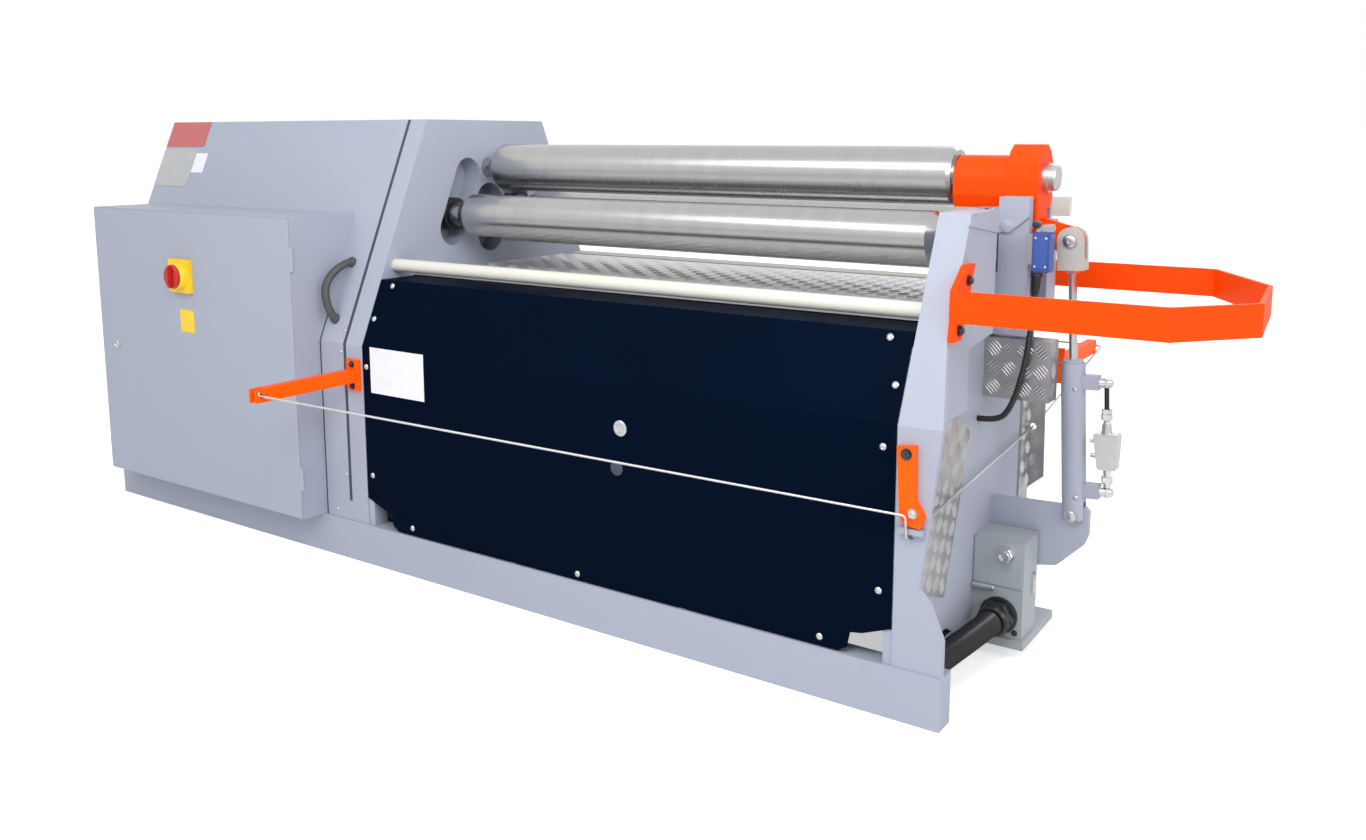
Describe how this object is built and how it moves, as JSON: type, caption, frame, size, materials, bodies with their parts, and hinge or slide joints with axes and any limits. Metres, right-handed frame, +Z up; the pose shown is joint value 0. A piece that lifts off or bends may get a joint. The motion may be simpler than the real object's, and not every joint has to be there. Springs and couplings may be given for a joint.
{
  "type": "four roll plate rolling machine",
  "caption": "Plate rolling machine with a pinch roll, two bending rolls, drop end yoke and cylinder, drive housing, control cabinet and guard loop.",
  "frame": {"origin": "centre of the machine's bounding box on the floor; the top roll's axis stands over y = 0", "axes": "+X along the rolls from the drive housing towards the drop end, +Y towards the back, +Z up"},
  "size_m": [3.071, 1.524, 1.114],
  "materials": {
    "lilac_paint": "satin",
    "lilac_cabinet": "satin",
    "orange_paint": "satin",
    "navy_paint": "satin",
    "cream_paint": "satin",
    "roll_steel": "turned",
    "carrier_steel": "satin",
    "tread_aluminium": "embossed",
    "beige_paint": "satin",
    "zinc": "zinc plated",
    "clevis_paint": "satin",
    "black_plastic": "satin",
    "blue_plastic": "satin",
    "black_rubber": "matt",
    "red_plastic": "satin"
  },
  "bodies": {
    "frame": {"base_frame": "lilac_paint", "housing": "lilac_paint", "left_plate": "lilac_paint", "cabinet": "lilac_cabinet", "cover_frame": "lilac_paint", "front_cover": "navy_paint", "rear_cover": "navy_paint", "deck": "tread_aluminium", "deck_strip": "beige_paint", "front_bar": "cream_paint", "right_web": "lilac_paint", "right_column": "lilac_paint", "rear_column": "lilac_paint", "pivot_walls": "lilac_paint", "outrigger": "lilac_paint", "guard_loop": "orange_paint", "wire_arm_front": "lilac_paint", "wire_arm_back": "lilac_paint", "wire_arm_rear_left": "lilac_paint", "trip_lever": "lilac_paint", "trip_wire": "zinc", "cover_handle": "black_plastic", "limit_switch": "blue_plastic", "switch_cable": "black_rubber", "junction_box": "beige_paint", "conduit": "black_rubber", "tread_box": "tread_aluminium", "tread_strip_front": "tread_aluminium", "tread_strip_rear": "tread_aluminium", "rear_bracket": "cream_paint"},
    "door": {"cabinet_door": "lilac_cabinet", "isolator_plate": "red_plastic"},
    "knob": {"isolator_knob": "red_plastic"},
    "front_lift": {"front_carrier_left": "carrier_steel", "front_carrier_right": "carrier_steel"},
    "front_bending_roll": {"front_roll": "roll_steel"},
    "rear_lift": {"rear_carrier_left": "carrier_steel", "rear_carrier_right": "carrier_steel"},
    "rear_bending_roll": {"rear_roll": "roll_steel"},
    "bottom_lift": {"bottom_carrier_left": "carrier_steel", "bottom_carrier_right": "carrier_steel"},
    "pinch_roll": {"bottom_roll": "roll_steel"},
    "upper_roll": {"top_roll": "roll_steel"},
    "drop_end": {"yoke": "orange_paint", "yoke_cap": "zinc"},
    "barrel": {"cylinder_barrel": "lilac_paint", "cylinder_valve": "zinc"},
    "rod": {"cylinder_rod": "clevis_paint"}
  },
  "joints": [
    {"name": "top_spin", "type": "hinge", "parent": "frame", "child": "upper_roll", "pos_m": [0.2085, 0, 0.988], "axis": [1, 0, 0], "continuous": true},
    {"name": "front_lift_slide", "type": "slide", "parent": "frame", "child": "front_lift", "axis": [0, 0.4067, 0.9135], "range_m": [-0.04, 0.045]},
    {"name": "front_spin", "type": "hinge", "parent": "front_lift", "child": "front_bending_roll", "pos_m": [0.2085, -0.127, 0.8665], "axis": [1, 0, 0], "continuous": true},
    {"name": "rear_lift_slide", "type": "slide", "parent": "frame", "child": "rear_lift", "axis": [0, -0.4067, 0.9135], "range_m": [-0.04, 0.045]},
    {"name": "rear_spin", "type": "hinge", "parent": "rear_lift", "child": "rear_bending_roll", "pos_m": [0.2085, 0.127, 0.8665], "axis": [1, 0, 0], "continuous": true},
    {"name": "bottom_lift_slide", "type": "slide", "parent": "frame", "child": "bottom_lift", "axis": [0, 0, 1], "range_m": [-0.04, 0.004]},
    {"name": "bottom_spin", "type": "hinge", "parent": "bottom_lift", "child": "pinch_roll", "pos_m": [0.2085, 0, 0.85], "axis": [1, 0, 0], "continuous": true},
    {"name": "drop_end_hinge", "type": "hinge", "parent": "frame", "child": "drop_end", "pos_m": [1.0385, 0, 0.893], "axis": [0, 1, 0], "range_deg": [0, 45]},
    {"name": "cylinder_tilt", "type": "hinge", "parent": "frame", "child": "barrel", "pos_m": [1.1785, 0, 0.303], "axis": [0, -1, 0], "range_deg": [-0.5, 6.44]},
    {"name": "rod_slide", "type": "slide", "parent": "barrel", "child": "rod", "axis": [0.0535, 0, -0.9986], "range_m": [-0.001, 0.0682]},
    {"name": "cabinet_door_hinge", "type": "hinge", "parent": "frame", "child": "door", "pos_m": [-0.597, -0.5345, 0.5], "axis": [0, 0, 1], "range_deg": [0, 90]},
    {"name": "isolator_turn", "type": "hinge", "parent": "door", "child": "knob", "pos_m": [-1.0575, -0.56, 0.7], "axis": [0, 1, 0], "range_deg": [0, 90]}
  ],
  "couplings": [
    {"joint": "cylinder_tilt", "follows": "drop_end_hinge", "ratio": 0.132},
    {"joint": "rod_slide", "follows": "drop_end_hinge", "m_per_rad": 0.0855}
  ]
}
